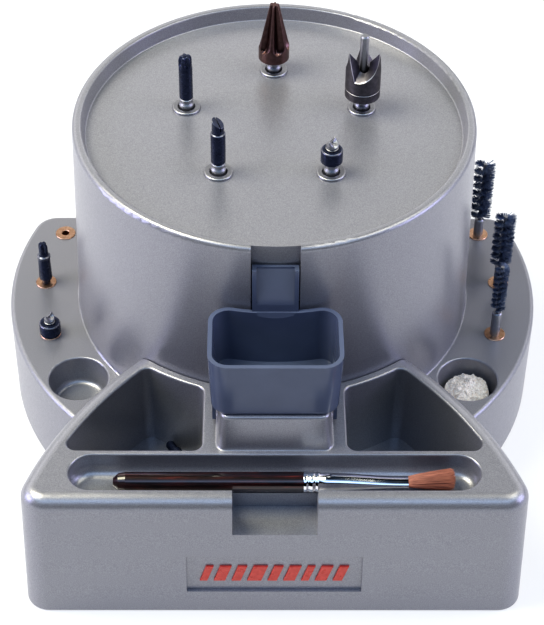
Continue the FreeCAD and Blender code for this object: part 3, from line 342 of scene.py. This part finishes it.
def smooth(value):
    """A smooth step from 0 to 1."""
    value = min(max(value, 0.0), 1.0)
    return value * value * (3.0 - 2.0 * value)


def axis_of(node):
    """The middle of a node's plan, in millimetres."""
    low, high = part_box(node)
    return (low.x + high.x) / 2 / MM, (low.y + high.y) / 2 / MM


def heights(low, high, rows):
    """Evenly spaced heights, both ends among them."""
    return [low + (high - low) * row / (rows - 1) for row in range(rows)]


# ---------------------------------------------------------------------------------------------
# Cutters
# ---------------------------------------------------------------------------------------------
# The parts of the tools that stand in a spindle's socket or in a wing's insert, as (radius, height).
SPINDLE_SHANK = [(2.05, 146.4), (2.05, 157.2)]
STORED_SHANK = [(1.76, 41.6), (1.76, 50.4)]


def make_chamfer_cutter():
    """A cone cutter: plain band below, six deep flutes that end in round scoops above it."""
    base, band_low, band_high, tip = 157.6, 159.4, 166.2, 189.5
    band_radius, tip_radius = 7.45, 2.3
    flutes = 6
    deepest = 0.30
    land = 0.84
    first_flute = 0.08
    depth_share = 0.46
    scoop_start = band_high - 1.5
    scoop_reach = 5.5
    scoop_spread = 3.2

    def relief(angle, radius, height):
        if height <= band_high - 1.6:
            return radius, height
        turn = (angle / (2 * math.pi) * flutes + first_flute) % 1.0
        if turn >= land:
            return radius, height
        across = turn / deepest if turn < deepest else (land - turn) / (land - deepest)
        start = scoop_start + scoop_spread * (1.0 - across) ** 2
        rise = min(max((height - start) / scoop_reach, 0.0), 1.0)
        depth = depth_share * across * math.sqrt(max(0.0, 1.0 - (1.0 - rise) ** 2))
        return radius * (1.0 - depth), height

    profile = SPINDLE_SHANK + [(3.0, base - 0.1), (4.8, base), (band_radius, band_low, 0.25),
                               (band_radius, band_low + 0.15)]
    profile += [(band_radius, height) for height in heights(band_low + 1.0, band_high, 18)]
    for height in heights(band_high + 0.4, tip - 0.3, 44):
        share = (height - band_high) / (tip - band_high)
        profile.append((band_radius + (tip_radius - band_radius) * share, height))
    profile.append((tip_radius - 0.25, tip))
    cutter = Shape(*axis_of("chamfer_cutter"))
    cutter.turned(profile, sides=288, relief=relief)
    cutter.piece("chamfer_cutter_flutes", "bronze_coating", "spindle_unit_back", "chamfer_cutter", sharp=24)


def saw_crown(shape, teeth, first, rise_share, outer, inner, rows, low, valley, tip, inner_lift, bare_metal_and_painted_highlight=0.0):
    """A crown of leaning teeth on a collar: each rises along a curve to its tip and drops steeply."""
    sides = teeth * 72
    crest = []
    for step in range(sides):
        share = ((step / sides) * teeth - first) % 1.0
        if share < rise_share:
            along = share / rise_share
            crest.append((1.0 - math.sqrt(max(0.0, 1.0 - along ** 2)), 1.0 - along))
        else:
            along = (share - rise_share) / (1.0 - rise_share)
            crest.append((1.0 - along, along))

    def ring_at(radius, level):
        places = []
        for step in range(sides):
            angle = 2 * math.pi * step / sides
            places.append((radius * math.sin(angle), -radius * math.cos(angle), level(crest[step])))
        return shape.ring(places)

    edge = 0.32
    span = tip - valley
    previous = ring_at(outer, lambda crown: low)
    shape.cap(previous, top=False)
    for row in range(1, rows):
        share = row / (rows - 1)
        ring = ring_at(outer, lambda crown: low + (valley + span * crown[0] - edge - low) * share)
        shape.bridge(previous, ring, bare_metal_and_painted_highlight)
        previous = ring
    bevel = ring_at(outer - edge, lambda crown: valley + span * crown[0])
    # The narrow bevel along each tooth's crest takes the full edge colour: ground metal with a painted
    # highlight on the crest.
    shape.bridge(previous, bevel, 1.0)
    previous = bevel
    for row in range(1, 6):
        share = row / 5
        radius = outer - edge + (inner - outer + edge) * share
        ring = ring_at(radius, lambda crown: valley + span * crown[0] * (1 - 0.45 * share)
                       + inner_lift * crown[1] * share)
        shape.bridge(previous, ring, bare_metal_and_painted_highlight)
        previous = ring
    floor = ring_at(inner - 0.2, lambda crown: valley - 1.0)
    shape.bridge(previous, floor, bare_metal_and_painted_highlight)
    shape.cap(floor)


def make_deburring_cutter():
    """An outside cutter: bevelled collar with a groove line and three leaning pointed teeth."""
    x, y = axis_of("deburring_cutter")
    radius = 8.38
    collar = Shape(x, y)
    # The groove's two bands take half the edge colour: bare metal with a painted highlight along the groove
    # line.
    profile = SPINDLE_SHANK + [(4.6, 157.4), (5.2, 157.5), (radius, 159.6), (radius, 163.75, 0.5),
                               (radius - 0.22, 163.95, 0.5), (radius, 164.15), (radius, 165.6)]
    collar.turned(profile, sides=96)
    saw_crown(collar, teeth=3, first=-32.0 / 120.0, rise_share=0.75, outer=radius, inner=3.3, rows=14,
              low=165.6, valley=171.2, tip=185.7, inner_lift=3.5)
    collar.piece("deburring_cutter_teeth", "gunmetal", "spindle_unit_right", "deburring_cutter", sharp=26)


def scalloped(count, low, high, depth):
    """A relief that cuts rounded flutes between two heights of a turned tip."""
    def relief(angle, radius, height):
        turn = (angle / (2 * math.pi) * count + 0.15) % 1.0
        across = max(0.0, math.sin(math.pi * min(turn / 0.72, 1.0)))
        reach = smooth((height - low) / (high - low) * 1.4)
        return radius - depth * across * reach * radius / 3.3, height
    return relief


def make_reamers():
    """The pocket tools: black shanks with fluted or slotted tips."""
    small = Shape(*axis_of("small_pocket_reamer"))
    profile = SPINDLE_SHANK + [(2.3, 157.3), (2.95, 157.5), (3.25, 157.9)]
    profile += [(3.25, z) for z in heights(160.0, 175.0, 8)]
    profile += [(3.25, z) for z in heights(175.4, 178.6, 12)]
    profile += [(3.16, 179.2), (3.02, 179.8), (2.75, 180.5), (2.4, 180.95), (1.9, 181.2), (1.2, 181.3)]
    small.turned(profile, sides=144, relief=scalloped(5, 174.8, 178.6, 1.15))
    small.piece("small_pocket_reamer_body", "black_oxide", "spindle_unit_left", "small_pocket_reamer",
                sharp=30)

    large = Shape(*axis_of("large_pocket_reamer"))
    # The shoulder ring takes part of the edge colour: a painted highlight, partly bare metal.
    profile = SPINDLE_SHANK + [(2.4, 157.4), (3.1, 157.6), (3.4, 158.1), (3.4, 173.7), (3.36, 173.9, 0.4),
                               (2.9, 174.35), (2.8, 174.4), (2.8, 176.4)]
    large.turned(profile, sides=96)
    slot_half = 0.28
    blade_radius = 2.75
    blade_turn = 0.5
    lean = 0.62
    for side in (-1, 1):
        reach = math.degrees(math.asin(slot_half / blade_radius))
        angles = [math.radians(reach + (180 - 2 * reach) * step / 24) for step in range(25)]
        outline = [(side * blade_radius * math.sin(angle), blade_radius * math.cos(angle))
                   for angle in angles]
        turned = [(px * math.cos(blade_turn) - py * math.sin(blade_turn),
                   px * math.sin(blade_turn) + py * math.cos(blade_turn)) for px, py in outline]
        low = large.ring([(px, py, 176.4) for px, py in turned])
        high = large.ring([(px, py, 179.6 - lean * px + 0.25 * py) for px, py in turned])
        rim = large.ring([(px * 0.93, py * 0.93, 179.85 - lean * px * 0.93 + 0.25 * py) for px, py in turned])
        large.bridge(low, high)
        # The blade rims and tip faces take a little edge colour: a painted highlight with bare metal at the
        # slot's edges.
        large.bridge(high, rim, 0.3)
        large.cap(low, top=False)
        large.cap(rim, bare_metal_and_painted_highlight=0.05)
    large.piece("large_pocket_reamer_body", "black_oxide", "spindle_unit_front_left", "large_pocket_reamer",
                sharp=30)

    stored = Shape(*axis_of("stored_reamer"))
    # The rings at the step take part of the edge colour: a painted highlight, partly bare metal.
    profile = STORED_SHANK + [(2.15, 50.6), (2.3, 52.4), (3.1, 53.2), (3.3, 54.0), (3.0, 66.8),
               (3.3, 67.0, 0.2), (3.3, 68.3, 0.5), (2.6, 68.8), (2.45, 69.2)]
    profile += [(2.45, z) for z in heights(69.6, 74.4, 10)] + [(2.2, 75.4), (1.5, 76.2)]
    stored.turned(profile, sides=96, relief=scalloped(4, 69.4, 73.0, 1.5))
    stored.piece("stored_reamer_body", "black_oxide", "stored_reamer_unit", "stored_reamer", sharp=30)


def make_uniformers():
    """Depth collars whose chamfers carry the edge colour, bare metal with a painted highlight, each holding a
    bright two-bladed bit.
    """
    sizes = {
        "uniformer": ("spindle_unit_front_right", SPINDLE_SHANK, 157.4, 158.0, 165.2, 5.08, 3.0, 170.7),
        "stored_uniformer": ("stored_uniformer_unit", STORED_SHANK, 50.5, 50.6, 57.6, 5.18, 2.7, 63.0),
    }
    for name, (body, shank, foot, low, top, radius, bit_radius, tip) in sizes.items():
        x, y = axis_of(name + "_collar")
        collar = Shape(x, y)
        # The chamfer bands take part of the edge colour: a painted highlight on bare metal.
        profile = shank + [(2.0, foot), (radius - 0.5, low), (radius, low + 0.55), (radius, top - 0.75),
                           (radius - 0.05, top - 0.6, 0.4), (radius - 0.55, top - 0.05, 0.1),
                           (radius - 0.7, top), (bit_radius + 0.35, top), (bit_radius + 0.3, top - 0.4)]
        collar.turned(profile, sides=96)
        collar.piece(name + "_collar_body", "black_oxide", body, name + "_collar")
        bit = Shape(x, y)
        bit.turned([(1.6, top - 2.0), (bit_radius, top - 0.3, 1.0), (bit_radius, top + 0.7, 1.0),
                    (bit_radius - 0.5, top + 0.95, 1.0), (bit_radius - 0.45, top + 1.4, 1.0)], sides=72)
        saw_crown(bit, teeth=2, first=0.12, rise_share=0.7, outer=bit_radius - 0.1, inner=0.6, rows=4,
                  low=top + 1.4, valley=top + 2.3, tip=tip, inner_lift=1.2, bare_metal_and_painted_highlight=1.0)
        bit.piece(name + "_bit_blades", "steel", body, name + "_bit", sharp=25)


# ---------------------------------------------------------------------------------------------
# Neck brushes
# ---------------------------------------------------------------------------------------------
def make_neck_brushes():
    """Bristles held in a twisted wire, so that they wind round it in turns."""
    brushes = {
        "rear": (5.9, 61.7, 97.7, 9.4, 0.34, 1900),
        "middle": (5.75, 63.0, 95.0, 8.3, 0.25, 1800),
        "front": (3.9, 65.7, 95.0, 6.7, 0.16, 1300),
    }
    for row, (radius, low, high, pitch, spread, count) in brushes.items():
        node = "neck_brush_bristles_" + row
        body = "neck_brush_" + row
        x, y = axis_of(node)
        hairs = Shape(x, y)
        for _ in range(count):
            height = random.uniform(low + 0.8, high - 1.0)
            side = random.choice((0.0, math.pi))
            angle = 2 * math.pi * height / pitch + side + random.gauss(0.0, spread)
            taper = min(1.0, 0.62 + (height - low) / 3.0, 0.55 + (high - height) / 3.0)
            reach = radius * taper * random.uniform(0.80, 0.985)
            lean = random.gauss(0.0, 0.05 * pitch * spread)
            tip = min(max(height + 0.8 + lean, low + 0.2), high - 0.2)
            out = (math.sin(angle), -math.cos(angle))
            bend = height + (tip - height) * 0.4
            path = [(out[0] * 0.4, out[1] * 0.4, height),
                    (out[0] * reach * 0.6, out[1] * reach * 0.6, bend),
                    (out[0] * reach, out[1] * reach, tip)]
            hairs.strand(path, (0.15, 0.14, 0.10))
        hairs.piece(node + "_hairs", "bristle", body, node)
        wire = Shape(x, y)
        for side in (0.0, math.pi):
            path = []
            for height in heights(low - 0.5, high - 0.4, 90):
                angle = 2 * math.pi * height / 3.2 + side
                path.append((0.45 * math.sin(angle), -0.45 * math.cos(angle), height))
            wire.strand(path, [0.42] * len(path), sides=6)
        wire.piece("neck_brush_wire_" + row, "steel", body)


# ---------------------------------------------------------------------------------------------
# Cleaning brush
# ---------------------------------------------------------------------------------------------
def make_cleaning_brush():
    """The ferrule, round at the handle and pressed flat at the tuft, and the fan of soft hair."""
    low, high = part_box("brush_ferrule")
    start = low.x / MM
    length = (high.x - low.x) / MM
    y, z = (low.y + high.y) / 2 / MM, (low.z + high.z) / 2 / MM
    stations = [(0.0, 4.66), (0.15, 4.72), (1.5, 4.74), (1.9, 4.45), (2.4, 4.45), (2.8, 4.74), (4.6, 4.74),
                (5.0, 4.42), (5.6, 4.42), (6.0, 4.72), (6.8, 4.70), (7.4, 4.2)]
    stations += [(7.4 + (length - 7.4) * step / 12, None) for step in range(1, 13)]
    ferrule = Shape()
    previous = None
    for along, radius in stations:
        flat = smooth((along - 9.0) / (length - 12.0))
        wide = radius if radius else 4.2 - 1.0 * flat
        thick = radius if radius else 4.2 - 2.3 * flat
        places = []
        for step in range(56):
            angle = 2 * math.pi * step / 56
            places.append((start + along, y + wide * math.cos(angle), z + thick * math.sin(angle)))
        ring = ferrule.ring(places)
        if previous is None:
            ferrule.cap(ring)
        else:
            ferrule.bridge(previous, ring)
        previous = ring
    ferrule.cap(previous)
    ferrule.piece("brush_ferrule_tube", "chrome", "cleaning_brush", "brush_ferrule", sharp=40)

    low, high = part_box("brush_hair")
    start = low.x / MM
    length = (high.x - low.x) / MM
    tuft = Shape()
    for _ in range(1500):
        turn = random.uniform(0.0, 2 * math.pi)
        share = math.sqrt(random.uniform(0.0, 1.0))
        root_y = 2.7 * share * math.cos(turn)
        root_z = 1.5 * share * math.sin(turn)
        fan = random.uniform(0.92, 1.08)
        tip_y = 0.9 + 4.9 * share * math.cos(turn) * fan
        tip_z = 1.0 + 4.5 * share * math.sin(turn) * fan
        reach = length * (1.0 - 0.05 * share ** 2) * random.uniform(0.86, 0.995)
        path = []
        for step in range(5):
            part = step / 4
            path.append((start - 1.0 + (reach + 1.0) * part, y + root_y + (tip_y - root_y) * part ** 0.8,
                         z + root_z + (tip_z - root_z) * part ** 0.8))
        tuft.strand(path, (0.13, 0.14, 0.13, 0.11, 0.05))
    tuft.piece("brush_hair_tuft", "hair", "cleaning_brush", "brush_hair")


# ---------------------------------------------------------------------------------------------
# Powder and badge
# ---------------------------------------------------------------------------------------------
def heap_height(x, y):
    """The powder's surface above the cup's floor: a crumbly heap that leans to one side."""
    spot = Vector((x * 0.24, y * 0.24, 3.7))
    lumps = noise.noise(spot) * 1.6 + noise.noise(spot * 2.6) * 0.9 + noise.noise(spot * 6.5) * 0.45
    mound = 10.2 - 0.030 * (x * x + (y - 1.0) ** 2) + 0.10 * x
    return mound + lumps


def make_powder():
    """Loose powder in the cup: a lumpy heap with crumbs on it."""
    x, y = axis_of("mica_powder")
    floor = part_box("mica_powder")[0].z / MM
    rings = 30
    sides = 120
    reach = 11.4
    heap = Shape(x, y)
    previous = None
    for row in range(rings, -1, -1):
        radius = reach * (row / rings) ** 0.9 if row else 0.05
        places = []
        for step in range(sides):
            angle = 2 * math.pi * step / sides
            px, py = radius * math.sin(angle), -radius * math.cos(angle)
            sink = smooth((radius - 10.6) / 1.0) * 2.2
            places.append((px, py, floor + min(max(heap_height(px, py) - sink, 1.0), 12.6)))
        ring = heap.ring(places)
        if previous is None:
            foot = heap.ring([(place[0] * 0.86, place[1] * 0.86, floor + 0.05) for place in places])
            heap.cap(foot, top=False)
            heap.bridge(foot, ring)
        else:
            heap.bridge(previous, ring)
        previous = ring
    heap.cap(previous)
    for _ in range(2200):
        angle = random.uniform(0.0, 2 * math.pi)
        radius = 11.0 * math.sqrt(random.uniform(0.0, 1.0))
        px, py = radius * math.sin(angle), -radius * math.cos(angle)
        grain = random.uniform(0.14, 0.42)
        height = floor + heap_height(px, py) - smooth((radius - 10.6) / 1.0) * 2.2
        height = min(max(height, 1.0 + floor), floor + 12.2)
        crumb(heap, px, py, height, grain)
    heap.piece("mica_powder_heap", "powder", "station", "mica_powder", sharp=80)


def crumb(shape, x, y, z, radius):
    """One irregular eight-faced grain."""
    def jitter():
        return radius * random.uniform(0.7, 1.15)
    top = shape.point(x, y, z + jitter() * 0.8)
    bottom = shape.point(x, y, z - jitter())
    belt = []
    start = random.uniform(0.0, math.pi)
    for step in range(4):
        angle = start + math.pi / 2 * step
        reach = jitter()
        belt.append(shape.point(x + reach * math.cos(angle), y + reach * math.sin(angle), z))
    for step in range(4):
        after = (step + 1) % 4
        shape.face((belt[step], belt[after], top))
        shape.face((belt[after], belt[step], bottom))


def make_badge():
    """A plain raised pattern in the front recess: slanted bars of changing width between two lines."""
    low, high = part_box("front_badge")
    left, right = low.x / MM, high.x / MM
    bottom, top = low.z / MM, high.z / MM
    front, back = low.y / MM, high.y / MM
    badge = Shape()
    slant = 3.0
    bevel = 0.25
    widths = (3.4, 5.2, 4.2, 6.4, 4.2, 5.2, 3.4, 5.2, 4.2)
    gap = ((right - left) - slant - sum(widths)) / (len(widths) - 1)
    x = left
    for width in widths:
        bar(badge, (x, x + width), slant, (bottom, top), (front, back), bevel)
        x += width + gap
    badge.piece("front_badge_pattern", "badge", "station", "front_badge", sharp=20)


def bar(shape, sides, slant, rows, faces, bevel):
    """A slanted bar with bevelled front edges, standing between two heights."""
    rings = []
    for inset, depth in ((0.0, faces[1]), (0.0, faces[0] + bevel), (bevel, faces[0])):
        rings.append(shape.ring([
            (sides[0] + inset, depth, rows[0] + inset), (sides[1] - inset, depth, rows[0] + inset),
            (sides[1] + slant - inset, depth, rows[1] - inset),
            (sides[0] + slant + inset, depth, rows[1] - inset),
        ]))
    shape.cap(rings[0], top=False)
    shape.bridge(rings[0], rings[1])
    shape.bridge(rings[1], rings[2])
    shape.cap(rings[2])


# ---------------------------------------------------------------------------------------------
# Studio
# ---------------------------------------------------------------------------------------------
def make_camera():
    """The camera looks down at the front of the station, a little to its left."""
    place = Vector((-0.0100, -0.66736, 0.6922))
    pitch = math.radians(43.276)
    yaw = math.radians(0.811)
    roll = math.radians(-0.675)
    forward = Vector((math.sin(yaw) * math.cos(pitch), math.cos(yaw) * math.cos(pitch), -math.sin(pitch)))
    right = Vector((math.cos(yaw), -math.sin(yaw), 0.0))
    up = right.cross(forward)
    level_right = right * math.cos(roll) - up * math.sin(roll)
    level_up = right * math.sin(roll) + up * math.cos(roll)
    data = bpy.data.cameras.new("camera")
    data.lens = 107.58
    data.sensor_width = 36.0
    data.clip_start = 0.01
    data.clip_end = 50.0
    camera = bpy.data.objects.new("camera", data)
    axes = Matrix((level_right, level_up, -forward)).transposed()
    camera.matrix_world = Matrix.Translation(place) @ axes.to_4x4()
    scene.collection.objects.link(camera)
    scene.camera = camera


def make_floor():
    """A pale floor that glows a little, as a light table does."""
    mesh = bpy.data.meshes.new("floor")
    half = 6.0
    corners = [(-half, -half, 0), (half, -half, 0), (half, half, 0), (-half, half, 0)]
    mesh.from_pydata(corners, [], [(0, 1, 2, 3)])
    floor = bpy.data.objects.new("floor", mesh)
    scene.collection.objects.link(floor)
    graph = Graph("floor")
    graph.set(Base_Color=(0.33, 0.33, 0.33), Roughness=0.9, Emission_Color=(1.0, 1.0, 1.0),
              Emission_Strength=0.45)
    mesh.materials.append(graph.material)


def area_light(name, place, target, side, power, colour):
    """A square panel of soft light that faces a target."""
    data = bpy.data.lights.new(name, "AREA")
    data.shape = "RECTANGLE"
    data.size = side
    data.size_y = side
    data.energy = power
    data.color = colour
    light = bpy.data.objects.new(name, data)
    light.location = place
    aim = Vector(target) - Vector(place)
    light.rotation_euler = aim.to_track_quat("-Z", "Y").to_euler()
    scene.collection.objects.link(light)


def glow_band(nodes, links, height, middle, reach, colour):
    """Light from a soft band round the room: brightest at a height, gone a reach above and below it."""
    node = nodes.new("ShaderNodeValToRGB")
    elements = node.color_ramp.elements
    elements.new(0.5)
    for element, level, share in zip(elements, (middle - reach, middle, middle + reach), (0.0, 1.0, 0.0)):
        element.position = level
        element.color = (*[channel * share for channel in colour], 1.0)
    links.new(height, node.inputs["Fac"])
    return node.outputs["Color"]


def make_room():
    """A room with a pale backdrop low behind the station and a cool ceiling over its front."""
    strength = 2.0
    backdrop = (0.7, 0.7, 0.7)
    ceiling = (0.5, 0.7, 1.0)
    turnover = 0.5
    world = bpy.data.worlds.new("studio")
    scene.world = world
    world.use_nodes = True
    nodes = world.node_tree.nodes
    links = world.node_tree.links
    split = nodes.new("ShaderNodeSeparateXYZ")
    links.new(nodes.new("ShaderNodeTexCoord").outputs["Generated"], split.inputs["Vector"])
    back = glow_band(nodes, links, split.outputs["Z"], 0.40, 0.40, backdrop)
    front = glow_band(nodes, links, split.outputs["Z"], 0.80, 0.20, ceiling)
    behind = nodes.new("ShaderNodeMapRange")
    behind.interpolation_type = "SMOOTHSTEP"
    behind.inputs["From Min"].default_value = -turnover
    behind.inputs["From Max"].default_value = turnover
    links.new(split.outputs["Y"], behind.inputs["Value"])
    blend = nodes.new("ShaderNodeMixRGB")
    links.new(behind.outputs["Result"], blend.inputs["Fac"])
    links.new(front, blend.inputs["Color1"])
    links.new(back, blend.inputs["Color2"])
    background = nodes["Background"]
    background.inputs["Strength"].default_value = strength
    links.new(blend.outputs["Color"], background.inputs["Color"])


def make_lights():
    """A warm panel high on the left with a weak twin on the right, and cool panels at the sides."""
    middle = (0.0, 0.0, 0.05)
    side = 0.6
    warm = (1.0, 0.96, 0.75)
    cool = (0.65, 0.65, 1.0)
    area_light("key_panel", (-0.6, 0.0, 1.1), middle, side, 10.0, warm)
    area_light("right_key_panel", (0.6, 0.0, 1.1), middle, side, 3.0, warm)
    area_light("left_panel", (-1.1, -0.2, 0.45), middle, side, 5.0, cool)
    area_light("right_panel", (1.1, -0.2, 0.45), middle, side, 4.0, cool)


dress_cad_nodes()
make_chamfer_cutter()
make_deburring_cutter()
make_reamers()
make_uniformers()
make_neck_brushes()
make_cleaning_brush()
make_powder()
make_badge()
make_camera()
make_floor()
make_room()
make_lights()
